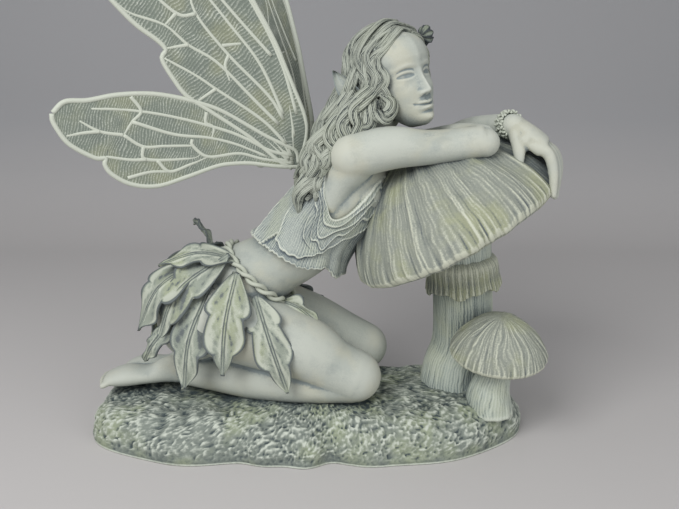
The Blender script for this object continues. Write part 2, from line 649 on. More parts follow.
def shoulder(side):
    """The middle of a shoulder; side is -1 for the right arm and 1 for the left."""
    x, y = turned_xy(0, side * 42, CHEST_TURN)
    return np.array([59 + x, -3 + y, GROUND + 212])


def leg(y, knee_x, hip_y, side):
    """Thigh, knee, shin and an upturned foot with five toes, as closed grids."""
    knee = (knee_x, y, GROUND + 23.5)
    thigh = round_tube(
        [(-80, hip_y, 112), (-45, (hip_y + y) / 2, 101), (0, y, 85), (knee_x - 20, y, 69), knee],
        [35, 32, 28, 24, 22.5], 50, 48)
    shin = round_tube(
        [(knee_x - 2, y, GROUND + 20), (knee_x - 45, y - 3 * side, GROUND + 18),
         (knee_x - 88, y - 10 * side, GROUND + 20), (knee_x - 128, y - 18 * side, GROUND + 19),
         (knee_x - 152, y - 23 * side, GROUND + 17)],
        [20, 19.5, 20.5, 15, 10.5], 60, 40)
    foot_y, heel = y - 26 * side, knee_x - 148
    foot = turned_tube(
        [(heel + 6, foot_y + 2 * side, GROUND + 16, 10, 9, 0), (heel - 8, foot_y, GROUND + 20, 13, 10.5, 0),
         (heel - 20, foot_y, GROUND + 19, 11.5, 10.5, 0), (heel - 36, foot_y, GROUND + 15, 8, 12, 0),
         (heel - 56, foot_y, GROUND + 14, 9, 15.5, 0), (heel - 68, foot_y, GROUND + 12, 7, 14.5, 0),
         (heel - 75, foot_y, GROUND + 11, 4, 11, 0)], 50, 40)
    parts = [thigh, shin, foot, blob(knee, (22.5, 22, 22.5))]
    for toe in range(5):
        across = foot_y + side * (toe - 2) * 5.8
        back = heel - 70 + abs(toe - 1.2) * 1.6
        size = (4.6, 3.6, 3.4, 3.2, 2.9)[toe]
        bone = [(back + 6, across, GROUND + 13), (back - 3, across, GROUND + 11.5),
                (back - 9, across, GROUND + 8)]
        parts.append(round_tube(bone, [size, size * 0.95, size * 0.9], 16, 16))
        parts.append(blob((back - 10, across, GROUND + 8), (size, size, size), 0, 10, 14))
    return parts


def arm_parts():
    """Both folded arms: upper arms, elbows, forearms and the hidden right hand."""
    right, left = shoulder(-1), shoulder(1)
    elbow = CAP_CENTRE + (10, -50, 73)
    wrist = CAP_CENTRE + (-24, 34, 71)
    left_elbow = CAP_CENTRE + (-2, 68, 63)
    left_bend = left_elbow * 0.6 + LEFT_WRIST * 0.4 + (2, 0, 3)
    return [
        blob(right, (18.5, 18.5, 18)), blob(left, (20, 20, 20)),
        round_tube([right, right * 0.7 + elbow * 0.3 + (0, -1, 3), right * 0.4 + elbow * 0.6, elbow],
                   [18.3, 17, 13.6, 12.2], 50, 40),
        blob(elbow + (1, 1, -1), (12, 13, 11.5)),
        round_tube([elbow, elbow * 0.62 + wrist * 0.38, wrist], [13, 14, 8.5], 40, 36),
        blob(wrist + (-5, 13, -4), (11, 16, 7), 12),
        round_tube([left, left * 0.5 + left_elbow * 0.5, left_elbow], [20, 17, 13.5], 40, 36),
        blob(left_elbow, (14, 14, 13)),
        round_tube([left_elbow, left_bend, LEFT_WRIST], [14, 14.5, 8.6], 50, 36),
    ]


HAND_TURN = -28.0


def hand_parts(wrist):
    """The draped left hand: a flat palm, four jointed fingers held together and a thumb."""
    knuckle = wrist + (27, -10, -16)
    parts = [turned_tube(
        [(*wrist, 9.0, 9.5, HAND_TURN), (*(wrist + (9, -4, -5)), 8.5, 11, HAND_TURN),
         (*(wrist + (19, -8, -11)), 7.5, 13.5, HAND_TURN), (*knuckle, 6, 14.5, HAND_TURN)], 24, 32)]
    for finger in range(4):
        spread = (finger - 1.5) / 1.5
        side = np.array([*turned_xy(0, 11.0 * spread, HAND_TURN), -1.5 * abs(spread)])
        start = knuckle + side + (-2, 0, 0)
        reach = 1 - 0.10 * abs(spread + 0.2)
        joints = [start, start + (7.0, -2.5 + 0.4 * spread, -6), start + np.array((12.0, -3.5, -20.5)) * reach,
                  start + np.array((12.0 - 1.5 * spread, -3.5 - 0.8 * spread, -40)) * reach]
        parts.append(round_tube(joints, [4.9, 4.7, 4.1, 3.0], 30, 20))
        parts.append(blob(start + (4.5, -1, -3), (4.9, 4.7, 4.9), 0, 12, 16))
        root = [start + (-10, 4, 4), start + (-3, 1, 0), start + (2, 0, -3)]
        parts.append(round_tube(root, [2.5, 4.8, 5.2], 16, 16))
        parts.append(blob(start + np.array((11.7, -3.3, -20)) * reach, (4.3, 4.3, 4.3), 0, 12, 16))
        parts.append(blob(joints[-1], (3.0, 3.0, 3.4), 0, 10, 14))
        parts.append(round_tube([wrist + (12, -4, -1) + 0.4 * side, start + (1, 0, 1.6)], [2.2, 2.6], 12, 12))
    parts += [blob(wrist + (2, -3, -1), (9.5, 9.5, 9)), blob(wrist + (12, -13, -13), (9, 7, 8))]
    thumb = [wrist + (4, -8, -7), wrist + (5, -13, -16), wrist + (5.5, -16, -25), wrist + (6, -17, -34)]
    parts.append(round_tube(thumb, [6.5, 5.6, 4.4, 2.4], 24, 20))
    parts.append(blob(thumb[-1], (2.5, 2.5, 2.8), 0, 10, 14))
    return parts


forms = [turned_tube(TORSO, 90, 64)]
for side in (-1, 1):
    x, y = turned_xy(0, side * 18.5, CHEST_TURN)
    forms.append(blob((57 + x, -5 + y, GROUND + 178), (18.5, 17, 18), CHEST_TURN))
    forms.append(blob((-93, 3 + 23 * side, GROUND + 71), (33, 26, 37)))
forms += leg(-33.0, 45.0, -24.0, -1) + leg(44.0, 55.0, 30.0, 1) + arm_parts() + hand_parts(LEFT_WRIST)
neck = round_tube([(52, -3, 241), (58, -5, 262), (70, -6, 284)], [17, 14.5, 15], 20, 32)
forms.append(neck)
for side in (-1, 1):
    start = shoulder(side)
    flank = [start + (2, -3 * side, -2), start + (-9, -6 * side, -20), start + (-20, -8 * side, -42)]
    forms.append(round_tube(flank, [19.5, 15, 10], 24, 32))
body = fuse(build("body", [shut_grid(form) for form in forms]), voxel=1.4, rounds=6, keep=0.36)
finish_piece(body, skin_paint, rounds=10, gain=1.0)

# %% [markdown]
# ## The head
#
# The head is one grid of level rings from under the chin to the crown. A small table
# gives each ring its front, its back and its half width. The features are bumps
# pressed into the front of that form, laid out by the usual rules: the eyes halfway
# up, the foot of the nose halfway from brow to chin, the mouth a third below that.

# %% Head
HEAD_CENTRE = np.array([77.0, -12.0, 305.0])
FACE_TURN, HEAD_LEAN = -54.0, 14.0


def head_axes():
    """The columns are the head's forward, left and up after the turn and the lean to the back."""
    turn, lean = math.radians(FACE_TURN), math.radians(HEAD_LEAN)
    about_z = np.array([[math.cos(turn), -math.sin(turn), 0], [math.sin(turn), math.cos(turn), 0], [0, 0, 1]])
    about_y = np.array([[math.cos(lean), 0, -math.sin(lean)], [0, 1, 0], [math.sin(lean), 0, math.cos(lean)]])
    return about_y @ about_z


HEAD_AXES = head_axes()


def on_head(points):
    """Points given as forward, left and up from the middle of the head, in the figurine's frame."""
    return np.asarray(points, float) @ HEAD_AXES.T + HEAD_CENTRE


HEAD_RINGS = np.array([
    # up, front, back, half width
    (-37.5, 25, 17, 3), (-36, 29, 11, 7), (-32.5, 32, 4, 11), (-27, 32.5, -4, 15.5), (-21, 32.5, -12, 19),
    (-14, 32.5, -20, 22), (-6, 32, -27, 24.3), (2, 31.5, -31, 25.8), (10, 32.6, -34, 27), (18, 33.5, -35, 28),
    (27, 30.5, -33, 27), (35, 23, -27, 22), (41, 12, -16, 13), (44, -1, -5, 2),
], float)


def face_features(left, up):
    """How far the face is pushed forward at each place across and up it, in millimetres."""
    side = np.abs(left)
    nose_line = np.interp(up, [-15.5, -13.6, -12.2, -10.5, -4, 3, 8], [0, 3.6, 6.8, 7.3, 4.8, 2.3, 0.6])
    nose_half = np.interp(up, [-15, -11, -4, 6], [4.2, 3.8, 2.7, 3.2])
    push = nose_line * bell(left, nose_half)
    push += 2.2 * bell(side - 4.4, 1.8) * bell(up + 12.3, 2.0)
    push -= 1.5 * bell(side - 2.6, 1.2) * bell(up + 14.4, 0.9)
    push -= 4.2 * bell(side - 11.0, 7.0) * bell(up - 2.8, 5.0)
    push += 1.2 * bell(side - 12, 8.5) * bell(up - 10.4 + 0.02 * (side - 10) ** 2, 2.2)
    push += 2.0 * bell(side - 15.0, 7.5) * bell(up + 8.0, 7.0)
    push += eye_features(side, up)
    push += 2.3 * bell(left, 7.2) * bell(up + 19.5 + 0.5 * bell(left, 1.5), 1.5)
    push += 2.9 * bell(left, 6.0) * bell(up + 23.9, 2.0)
    push -= 1.9 * bell(left, 8.8) * bell(up + 21.6 - 0.020 * left**2, 0.7)
    push -= 1.1 * bell(side - 9.2, 1.6) * bell(up + 20.0, 1.6)
    push -= 0.7 * bell(left, 1.2) * bell(up + 17.0, 1.8)
    push -= 1.2 * bell(left, 6.0) * bell(up + 27.2, 1.7)
    push += 2.2 * bell(left, 7.0) * bell(up + 32.0, 4.0)
    push -= 1.0 * bell(side - 24, 5.0) * bell(up - 8, 9.0)
    return push


def eye_features(side, up):
    """A ball behind an almond opening with soft lids, a fold above them and a shallow pupil."""
    along = (side - 11.2) / 6.6
    arch = np.sqrt(np.clip(1 - along**2, 0, 1))
    upper, lower = 2.6 + 2.5 * arch, 2.4 - 1.7 * arch
    push = 3.4 * bell(side - 11.2, 6.4) * bell(up - 2.5, 4.3)
    opening = step_up(upper - up, -0.3, 1.1) * step_up(up - lower, -0.3, 1.1) * step_up(arch, 0, 0.6)
    push = push - 0.8 * opening
    push += (0.35 * bell(up - upper - 0.7, 0.9) + 0.2 * bell(up - lower + 0.6, 0.8)) * arch
    push -= 0.6 * bell(up - upper - 2.6, 0.9) * arch
    return push - 0.35 * bell(np.hypot(side - 10.8, up - 2.9), 1.5)


def head_grid(rows=172, sides=230):
    """f = c + (front or back - c) cos a, l = w sin a, plus the features on the front."""
    ring = curve_through(HEAD_RINGS, rows)
    up, front, back, half = (ring[:, i:i + 1] for i in range(4))
    even = np.linspace(-math.pi, math.pi, sides, endpoint=False)[None, :]
    a = even - 0.45 * np.sin(even)
    middle = 0.3 * (front + back)
    forward = middle + np.where(np.cos(a) > 0, front - middle, middle - back) * np.cos(a)
    left = half * np.sin(a)
    forward = forward + face_features(left, up) * np.clip(np.cos(a), 0, 1) ** 0.4
    return on_head(np.stack([forward, left, up * np.ones_like(a)], -1))


finish_piece(build("head", [shut_grid(head_grid())]), skin_paint, rounds=12, gain=0.55)

# %% [markdown]
# ## Blades: ears, leaves and petals
#
# An ear, a leaf and a petal are all one form, a thin blade swept along a bent line.
# Its section runs out along the top face and back along the underside, so the blade
# is a closed skin with a real edge. Veins or ribs are added to the height of the top.
# The leaves make the skirt, and the petals are those of the flower in the hair.

# %% Blades
HALF_STEPS = (0.022, 0.05, 0.08, 0.12, 0.18, 0.28, 0.41, 0.56, 0.71, 0.84, 0.94, 1.0)
STEPS = np.array([-s for s in HALF_STEPS[::-1]] + [0.0] + list(HALF_STEPS))


def blade_grid(line, half, face, thick, height, rows=54, s=STEPS, sweep=0.0):
    """P(t, s) = line(t) + s half(t) side + (height(t, s) +- thick(s) / 2) up, with side = along x face.

    Sweep draws the rim towards the tip by sweep half(t) |s| ** 1.5, so that lobes point that way.
    The steps of s lie close together at the middle, where the midrib is, and at the rim.
    The underside takes three quarters of the height, so its veins are softer.
    """
    points = curve_through(line, rows)
    along = unit(np.gradient(points, axis=0))
    side = unit(np.cross(along, np.broadcast_to(np.asarray(face, float), along.shape)))
    up = np.cross(side, along)
    t = np.linspace(0, 1, rows)[:, None]
    s = s[None, :]
    reach = half(t)
    rise = height(t, s, reach)
    thin_rim = 0.35 + 0.65 * np.sqrt(1 - 0.9 * s**8)
    thin_ends = 0.55 + 0.45 * np.sin(math.pi * np.clip(t, 0.04, 0.96))
    wall = thick * thin_rim * thin_ends
    flat = points[:, None] + (s * reach)[..., None] * side[:, None]
    flat += (sweep * reach * np.abs(s) ** 1.5 * (1 - t**6))[..., None] * along[:, None]
    top = flat + (rise + wall / 2)[..., None] * up[:, None]
    low = flat + (0.75 * rise - wall / 2)[..., None] * up[:, None]
    return np.concatenate([low[:, ::-1], top], axis=1)[:, ::-1]


def leaf(root, middle, tip, width, face, seed):
    """Half width = width / 2 sin(pi t ** 0.75) ** 0.8 times rounded lobes.

    The blade curls towards its edge, a double midrib and side veins stand up, and a bead runs round the rim.
    """

    def half(t):
        lobes = 0.70 + 0.30 * np.sin(math.pi * ((2.6 * t + 0.21 * seed) % 1.0) ** 1.9) ** 0.7
        return width / 2 * np.sin(math.pi * np.clip(t, 0.015, 0.975) ** 0.75) ** 0.8 * lobes

    def height(t, s, reach):
        away = np.abs(s)
        curl = -0.16 * reach * away**2 + (0.14 + 0.10 * math.sin(2.1 * seed)) * reach * away**5
        curl += (2.0 * np.cos(5.2 * math.pi * t + seed) + 1.6 * np.sin(9 * t + 2 * seed + 2 * s)) * away**2
        rib = 0.95 * bell(away * reach - 1.1, 0.55) + 0.3 * bell(s * reach, 2.6)
        vein = 0.34 * bell((4.5 * t - 1.9 * away + 0.25) % 1.0 - 0.5, 0.12) * (1 - away**3)
        rim = 0.7 * bell(away - 0.94, 0.07)
        return curl + (rib + vein + rim) * np.sin(math.pi * np.clip(t, 0.02, 0.98)) ** 0.4

    ground_up = (0, 0, GROUND)
    line = [np.add(root, ground_up), np.add(middle, ground_up), np.add(tip, ground_up)]
    return blade_grid(line, half, face, 2.6, height, sweep=0.36)


def petal(root, middle, tip, width, face, seed, ribs=3.0, rows=14):
    """A fluted petal with a rounded, rolled end: ribs |cos(ribs s)| fanning out from the root."""

    def half(t):
        rounded = np.sqrt(np.clip(1 - np.clip((t - 0.70) / 0.31, 0, 1) ** 2, 0.001, 1))
        return width / 2 * (0.30 + 0.70 * step_up(t, 0, 0.75)) * rounded

    def height(t, s, reach):
        rib = 0.62 * (np.abs(np.cos(ribs * s + seed)) - 0.5) * step_up(t, 0.02, 0.3)
        scallop = 0.9 * np.cos(ribs * s + 2 * seed) * t**6
        wave = 1.5 * np.sin(3.2 * s + seed) * t**2
        return rib + scallop + wave - 0.16 * reach * s**2 + 2.2 * t**8 + 1.2 * np.abs(s) ** 8 * t

    return blade_grid([root, middle, tip], half, face, 1.7, height, rows, np.linspace(-1, 1, 13))


def ear(side):
    """A pointed, cupped ear: a blade whose edges stand up round a hollow.

    The right one, whose side is -1, stands 4 mm further out, to show past the locks in front of it.
    """

    def half(t):
        return 8.0 * np.sin(math.pi * np.clip(0.20 + 0.80 * t, 0, 0.995)) ** 0.8

    def height(t, s, reach):
        return 3.4 * np.abs(s) ** 3 - 1.6 * (1 - s**2) + 0.9 * bell(s - 0.35, 0.18) * (1 - t)

    out = 32 - 2 * side
    line = on_head([(-3, out * side, -12), (-9, (out + 7) * side, 2), (-19, (out + 9) * side, 21)])
    return blade_grid(line, half, HEAD_AXES @ np.array([0.75, side, 0.1]), 2.4, height, 34)


finish_piece(build("ears", [shut_grid(ear(-1)), shut_grid(ear(1))]), skin_paint, gain=0.8)
LEAVES = [
    # root, middle and tip above the ground, width, which way the face looks
    ((-53, -40, 117), (-60, -62, 80), (-64, -64, 36), 41, (0, -1, 0.1)),
    ((-38, -42, 98), (-24, -63, 62), (-11, -62, 20), 35, (0.15, -1, 0.2)),
    ((-74, -42, 106), (-90, -58, 66), (-97, -56, 22), 38, (-0.2, -1, 0.1)),
    ((-74, -22, 126), (-114, -42, 106), (-137, -36, 66), 46, (-0.6, -0.7, 0.5)),
    ((-50, -24, 122), (-84, -36, 131), (-117, -40, 122), 26, (-0.2, -0.6, 0.8)),
    ((-104, -40, 78), (-122, -48, 58), (-134, -36, 38), 18, (-0.4, -0.9, 0.2)),
    ((-80, 6, 132), (-90, 6, 148), (-97, 8, 153), 15, (-0.9, 0, 0.4)),
    ((-78, 8, 128), (-120, 5, 108), (-138, 2, 46), 48, (-0.8, 0, 0.5)),
    ((-76, 28, 128), (-116, 48, 102), (-134, 47, 36), 50, (-0.6, 0.7, 0.5)),
    ((-74, 48, 106), (-90, 68, 66), (-98, 68, 22), 40, (-0.2, 1, 0.1)),
    ((-53, 46, 117), (-58, 72, 80), (-60, 76, 34), 42, (0, 1, 0.1)),
    ((-38, 48, 98), (-22, 72, 64), (-8, 76, 22), 38, (0.15, 1, 0.2)),
    ((-30, 50, 90), (-6, 60, 75), (18, 64, 56), 34, (0.3, 0.6, 0.75)),
    ((-27, -20, 87), (-5, -30, 83), (17, -36, 66), 24, (0.25, -0.5, 0.83)),
    ((-60, -30, 130), (-98, -50, 104), (-118, -48, 62), 36, (-0.4, -0.9, 0.3)),
]
leaves = [leaf(*row, seed) for seed, row in enumerate(LEAVES)]
finish_piece(build("skirt_leaves", [shut_grid(grid) for grid in leaves]), leaf_paint, gain=0.7)

# %% [markdown]
# ## The dress
#
# The dress is one shell between two skins. Its top edge is a function of the angle, so
# it dips at each side into an armhole, and its hem is another. The overlapping petals
# are not separate pieces: each edge is a line on the shell where the height steps up
# by a millimetre or two behind a small bead, which is what a cast dress looks like.

# %% Dress
DRESS = np.array([
    (-8, 0, 150, 49, 48, -4), (-1, 0, 162, 43, 44, -8), (8, 0, 176, 39, 42, -14), (20, -1, 192, 37, 42, -20),
    (32, -1, 207, 39, 45, -25), (43, -2, 225, 34, 46, -25), (51, -3, 241, 23, 40, -25),
], float)


def dress_skin(t, a, push):
    """The point of the bodice at share t from hem to top and angle a from the front, moved out by push."""
    rows = curve_through(DRESS, 200)
    spread = [np.interp(t, np.linspace(0, 1, 200), rows[:, i]) for i in range(6)]
    slope = unit(np.gradient(rows[:, :3], axis=0))
    along = np.stack([np.interp(t, np.linspace(0, 1, 200), slope[:, i]) for i in range(3)], -1)
    turn = np.radians(spread[5])
    level = np.stack([-np.sin(turn), np.cos(turn), np.zeros_like(turn)], -1)
    across = unit(level - along * np.sum(level * along, -1, keepdims=True))
    out = np.cross(across, along)
    centre = np.stack(spread[:3], -1)
    deep = ((spread[3] + push) * np.cos(a))[..., None]
    wide = ((spread[4] + push) * np.sin(a))[..., None]
    return centre + deep * out + wide * across


def bodice_top(a):
    """How far up the bodice reaches at an angle: 1 less a dip for each armhole."""
    return 1 - 0.43 * bell(np.abs(a) - 1.22, 0.56)


def dress_hem(a):
    """How far up the hem lies at an angle: a few broad lobes with small scallops on them."""
    b = -np.abs(a)
    lobes = np.interp(
        b, [-3.2, -2.65, -1.9, -1.4, -1.07, -0.87, -0.53, -0.25, 0.0],
        [0.08, 0.095, 0.10, 0.115, 0.18, 0.22, 0.16, 0.20, 0.20])
    return lobes + 0.010 * np.abs(np.sin(15 * a)) + 0.005 * np.sin(52 * a + np.sin(9 * a))


def stepped(distance, lift, fade):
    """0 outside an edge; inside it lift exp(-distance / fade), with a small bead along the edge."""
    bead = 0.8 * bell(distance - 1.1, 0.8)
    return lift * step_up(distance, 0, 0.9) * np.exp(-np.clip(distance, 0, None) / fade) + bead


def dress_height(t, a):
    """Height of the folds at share t and angle a: stepped edges of petals and frills, flutes and fine ribs."""
    b = -np.abs(a) + 0.02 * np.sin(23 * t + 2 * np.sign(a))
    edge = np.interp(
        b, [-3.2, -2.4, -2.2, -2.1, -2.02, -1.81, -1.5, -1.36, -0.92, -0.64, -0.34, 0.0],
        [0.0, 0.05, 0.17, 0.26, 0.205, 0.165, 0.185, 0.23, 0.41, 0.54, 0.69, 0.80])
    over = 95 * (t - edge - 0.006 * np.sin(31 * b))
    push = stepped(over, 2.6, 22.0)
    for line_t, line_b, low in (
        ((0.16, 0.21, 0.41, 0.7), (-1.95, -2.05, -2.16, -2.25), 0.16),
        ((0.30, 0.33, 0.37, 0.5, 0.7), (-1.2, -1.39, -1.56, -1.68, -1.76), 0.31),
        ((0.1, 0.3, 0.6), (-2.62, -2.80, -2.86), 0.10),
    ):
        across = 42 * (b - np.interp(t, line_t, line_b))
        push += stepped(across, 1.9, 9.0) * step_up(t, low, low + 0.05) * (1 - step_up(t, 0.42, 0.66))
    below = 95 * (bodice_top(a) - t)
    by_arm = step_up(1.0 - np.abs(np.abs(a) - 1.22), 0, 0.25)
    for width, waves, lift in ((6.0, 17, 1.3), (12.0, 13, 1.5), (18.5, 21, 1.5)):
        push += by_arm * stepped(width * (1 + 0.13 * np.sin(waves * a + width)) - below, lift, 8.0)
    inside = step_up(over, -0.5, 0.5)
    fan = 1 + 0.28 * (0.5 - t) * np.cos(3.2 * b + 0.6)
    ribs = 0.42 * (np.abs(np.sin(58 * (b + 1.6) * fan)) - 0.6)
    flutes = 1.5 * np.abs(np.sin(8.5 * b + 1.8 * t)) * step_up(b, -1.35, -1.0) - 0.7
    swag = 0.45 * np.sin(11 * b + 4 * t) * (1 - t)
    push += ribs * (0.6 + 0.4 * np.sin(5 * b + 6 * t)) + (1 - inside) * flutes + swag
    straps = bell(b + 0.10, 0.055) + bell(b + 0.33, 0.055)
    return push + 1.3 * straps * step_up(t, 0.62, 0.76)


def bodice_grid(sides=600, rows=82, inside=8):
    """Outside from hem to top, then inside back down: push = folds and a rolled hem."""
    a = np.linspace(-math.pi, math.pi, sides, endpoint=False)[None, :]
    t = np.linspace(0, 1, rows)[:, None]
    foot, top = dress_hem(a), bodice_top(a)
    place = foot + (top - foot) * t
    roll = 0.9 * bell(t - 0.012, 0.012) + 0.6 * step_up(t, 0.96, 1.0) - 0.8 * (1 - step_up(t, 0, 0.01))
    outer = dress_skin(place, a, dress_height(place, a) + roll)
    back = np.linspace(1, 0, inside)[:, None]
    inner = dress_skin(foot + (top - foot) * back, a, -2.2 + 0 * a)
    return np.concatenate([outer, inner])


def loop_tube(points, radius, sides, up):
    """A bar along a closed line; its section is square to the line at every point."""
    points = np.asarray(points, float)
    along = unit(np.roll(points, -1, 0) - np.roll(points, 1, 0))
    across = unit(np.cross(along, np.broadcast_to(np.asarray(up, float), along.shape)))
    out = np.cross(across, along)
    size = np.full(len(points), float(radius))
    return sections(points, across, out, size, size, sides)


finish_piece(build("dress", [shut_grid(bodice_grid(), loop=True)]), dress_paint, gain=0.9)

# %% [markdown]
# ## Cords and small ornaments
#
# The waist cord is two bars twisted round one ring. Each bar is a tube along a line
# that circles the ring as it goes round it. The bracelet is three frilled rings side
# by side, and the flower is a ring of little petals with a bead in the middle.

# %% Cord, bracelet and flower


def waist_strand(phase, twists=10, reach=2.0):
    """Point = ring(a) + reach (cos(twists a + phase) out + sin(twists a + phase) up)."""
    a = np.linspace(0, 2 * math.pi, 400, endpoint=False)
    twist = twists * a + phase
    depth, width = 37 + reach * np.cos(twist), 43 + reach * np.cos(twist)
    lift = reach * np.sin(twist)
    return np.column_stack([
        -38 + 0.75 * depth * np.cos(a) + 0.66 * lift, 3 + width * np.sin(a),
        GROUND + 107 - 0.66 * depth * np.cos(a) + 0.75 * lift])


strands = [loop_tube(waist_strand(phase), 1.9, 10, (0.66, 0, 0.75)) for phase in (0, math.pi)]
finish_piece(build("waist_cord", [shut_grid(strand, loop=True) for strand in strands]), leaf_paint, gain=0.8)


def bracelet(shift, radius, waves):
    """A thin ring square to the forearm, waved along it and out from it."""
    a = np.linspace(0, 2 * math.pi, 190, endpoint=False)[:, None]
    along = unit(np.array((34.0, -96.0, 20.0)))
    side = unit(np.cross(along, (0, 0, 1)))
    high = np.cross(side, along)
    reach = radius + np.cos(waves * a)
    line = LEFT_WRIST + (0, 0, -0.5) + reach * np.cos(a) * side + reach * np.sin(a) * high
    frill = shift + 1.3 * np.sin(1.5 * waves * a + shift)
    return loop_tube(line + frill * along, 0.95, 8, along)


BRACELETS = [
    # shift along the forearm, radius, waves
    (-3, 9.8, 16), (0, 10.2, 20), (3, 9.6, 18),
]
trims = [shut_grid(bracelet(*row), loop=True) for row in BRACELETS]
for turn in np.linspace(0, 2 * math.pi, 7, endpoint=False):
    middle = on_head((15, 25, 31))
    out = HEAD_AXES @ np.array([math.cos(turn), 0.45, math.sin(turn)])
    tip = middle + 8.5 * out + HEAD_AXES @ (0, 1.5, 0)
    trims.append(shut_grid(petal(middle, middle + 4 * out, tip, 6.5, HEAD_AXES @ (0, 1, 0.2), turn)))
trims.append(shut_grid(blob(on_head((15, 27.5, 31)), (3, 3, 3), 0, 10, 14)))
finish_piece(build("bracelet_and_flower", trims), trim_paint, gain=0.9)

# %% [markdown]
# ## Hair
#
# Hair in a casting is a few dozen thick locks with grooves cut along them. Each lock
# is a flattened tube. Over the head the locks follow great circles from the parting
# to the nape, with a slow wave laid across. Down the back they ride on a soft mass.

# %% Hair


def lock(points, radii, seed, middle, grooves=6, rows=46, sides=28, flat=0.62):
    """A tube flattened towards the middle it lies on, cut by |cos| grooves that twist slowly along it."""
    a = np.linspace(0, 2 * math.pi, sides, endpoint=False)[None, :]
    t = np.linspace(0, 1, rows)[:, None]
    turned = a + 1.0 * np.sin(5 * t + seed)
    swell = 0.84 + 0.22 * np.abs(np.cos(grooves / 2 * turned)) ** 0.8 + 0.09 * np.sin(2 * turned + 7 * t + seed)
    up = unit(curve_through(np.asarray(points, float) - middle, rows))
    grid = round_tube(points, radii, rows, sides, flat, up, swell)
    length = np.linalg.norm(np.diff(np.asarray(points, float), axis=0), axis=1).sum()
    flow = np.stack([length * t * np.ones_like(a), 6.0 * turned + 3 * seed], -1)
    return grid, flow


def crown_lock(side, share, seed):
    """A great circle from the parting to the side of the neck, bowed back and waved, on an oval skull."""
    start = math.radians(58 + 92 * share)
    s = np.array([math.cos(start), 0.20, math.sin(start)])
    end, dip = math.radians((96 if side < 0 else 88) + 84 * share), math.radians(-36 - 6 * share)
    e = np.array([math.cos(end) * math.cos(dip), side * math.sin(end) * math.cos(dip), math.sin(dip)])
    angle = math.acos(np.clip(s @ e / np.linalg.norm(s), -1, 1))
    t = np.linspace(0, 1, 16)[:, None]
    arc = (np.sin((1 - t) * angle) * s + np.sin(t * angle) * e) / math.sin(angle)
    wave = 0.10 * np.sin(2 * math.pi * (2.1 * t + 0.09 * seed)) * step_up(t, 0.1, 0.5)
    arc = arc + unit(np.cross(s, e)) * wave
    arc[:, 0] -= 0.16 * (1 - share) * np.sin(math.pi * t[:, 0]) ** 1.2
    rise = 1.0 + 0.04 * math.sin(5.1 * seed) + 0.03 * np.sin(7 * t + seed)
    return on_head(np.array([-5, 0, 6]) + unit(arc) * (40.0, 32.5, 41.0) * rise)


def fall_lock(angle, start, end, seed):
    """A lock down the back at an angle round the mass of hair and the middle line it hangs on."""
    fall = curve_through([
        (58, -6, 322, 18, 24, -24), (53, -4, 303, 19, 27, -20), (41, -3, 279, 19, 33, -14),
        (30, -2, 256, 20, 37, -12),
        (23, -2, 236, 19, 39, -12), (15, -3, 218, 15, 36, -12), (7, -6, 200, 9, 26, -12)], 60)
    t = np.linspace(start, end, 20)
    row = np.stack([np.interp(t, np.linspace(0, 1, 60), fall[:, i]) for i in range(6)], -1)
    sway = 2 * math.pi * (2.9 * t + 0.29 * seed)
    a = angle + 0.22 * np.sin(sway) * step_up(t, 0.1, 0.45)
    swell = 1 + 0.11 * np.cos(sway + seed) + 0.07 * math.sin(4.3 * seed) + 0.22 * step_up(t, end - 0.16, end)
    turn = math.radians(-14)
    back = np.array([-math.cos(turn), -math.sin(turn), 0.0])
    across = np.array([-math.sin(turn), math.cos(turn), 0.0])
    away = (row[:, 3] * swell * np.cos(a))[:, None] * back + (row[:, 4] * swell * np.sin(a))[:, None] * across
    return row[:, :3] + away, row[:, :3]


FRONT_LOCKS = [
    # forward, left and up from the middle of the head: three from the parting, a curl, two on the far side
    ((21, 9, 36), (19.5, 1, 39), (21, -9, 35.5), (19.5, -18, 29), (13.5, -25, 21.5), (14.5, -27, 13),
     (18, -25.5, 5),
     (13, -28, -1), (5, -30.5, -4.5), (-6, -32, -9), (-15, -32, -18)),
    ((15, 9, 42), (13.5, -1, 45), (13, -12, 41.5), (10, -21, 34.5), (6, -28, 26), (7, -30, 17),
     (11, -29.5, 8),
     (6, -31.5, 1), (-4, -33.5, -6), (-13, -34, -15), (-20, -32, -25)),
    ((9, 8, 46), (7, -4, 48.5), (6, -16, 43.5), (3, -25, 36), (-2, -31, 26), (0, -33, 16), (3, -33, 7),
     (-3, -34.5, 0), (-12, -35, -8), (-20, -33, -18)),
    ((10, -29, 4), (16, -27, -3), (15, -26, -11), (9, -26, -19), (0, -28, -23), (-7, -30.5, -19),
     (-5, -32, -12)),
    ((21, 9, 36), (20, 16, 31), (13, 24, 23), (4, 29, 8), (-4, 30, -8), (-10, 29, -20)),
    ((15, 9, 42), (13, 19, 36), (5, 27.5, 26), (-3, 31.5, 10), (-10, 32, -8), (-16, 30, -20)),
]
crown_parts = [shut_grid(blob(on_head((-8, 0, 5)), (32, 28.5, 37), FACE_TURN, 30, 44))]
seed = 0
for line in FRONT_LOCKS:
    seed += 1
    radii = np.interp(np.linspace(0, 1, len(line)), [0, 0.25, 0.7, 1], [2.6, 4.4, 4.8, 3.0])
    crown_parts.append(shut_grid(*lock(on_head(line), radii, seed, HEAD_CENTRE)))
for side, count in ((-1, 15), (1, 12)):
    for share in np.linspace(0, 1, count):
        seed += 1
        radii = np.array([2.6, 4.4, 5.4, 5.8, 6.0, 6.0, 5.8, 5.4, 4.6]) * (1 + 0.18 * math.sin(2.7 * seed))
        line = curve_through(crown_lock(side, share, seed), 9)
        crown_parts.append(shut_grid(*lock(line, radii, seed, HEAD_CENTRE)))
finish_piece(build("crown_hair", crown_parts), hair_paint, gain=0.9)

